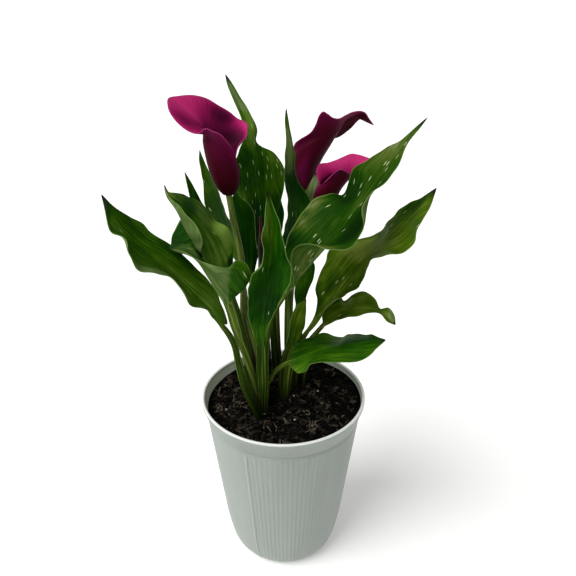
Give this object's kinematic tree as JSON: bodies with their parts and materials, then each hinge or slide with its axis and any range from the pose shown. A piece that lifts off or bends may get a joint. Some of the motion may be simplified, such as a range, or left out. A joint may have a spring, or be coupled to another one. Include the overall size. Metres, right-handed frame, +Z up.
{
  "type": "potted calla lily",
  "caption": "Potted calla lily with dark pink funnel flowers above waved pointed leaves, in a tapered plastic nursery pot with fine ribs.",
  "frame": {"origin": "centre of the pot's flat underside", "axes": "+Z up through the pot's middle, -Y towards the side seen from the front, +X to that side's right"},
  "size_m": [0.2409, 0.1679, 0.4462],
  "materials": {
    "pot": "matte grey-green plastic",
    "soil": "loose dark bark compost",
    "leaf": "satin leaf blade",
    "stem": "smooth green stalk",
    "spathe": "satin petal",
    "spadix": "matte knobbly spike"
  },
  "bodies": {
    "root": {"pot": "pot", "soil": "soil", "leaf_far_left": "leaf", "leaf_upper_left": "leaf", "leaf_trumpet": "leaf", "leaf_left_back": "leaf", "leaf_left_tall": "leaf", "leaf_tall_back": "leaf", "leaf_left_inner": "leaf", "leaf_front": "leaf", "leaf_narrow_tall": "leaf", "leaf_small_pale": "leaf", "leaf_big_right": "leaf", "leaf_right": "leaf", "leaf_low_right": "leaf", "leaf_bottom_right": "leaf", "leaf_behind_right": "leaf", "leaf_sheath_right": "leaf", "leaf_folded_back": "leaf", "stem_left": "stem", "stem_right": "stem", "stem_low": "stem", "stem_bud": "stem", "spathe_left": "spathe", "spathe_right": "spathe", "spathe_low": "spathe", "bud_closed": "spathe", "spadix_left": "spadix", "spadix_right": "spadix", "spadix_low": "spadix"}
  },
  "joints": []
}
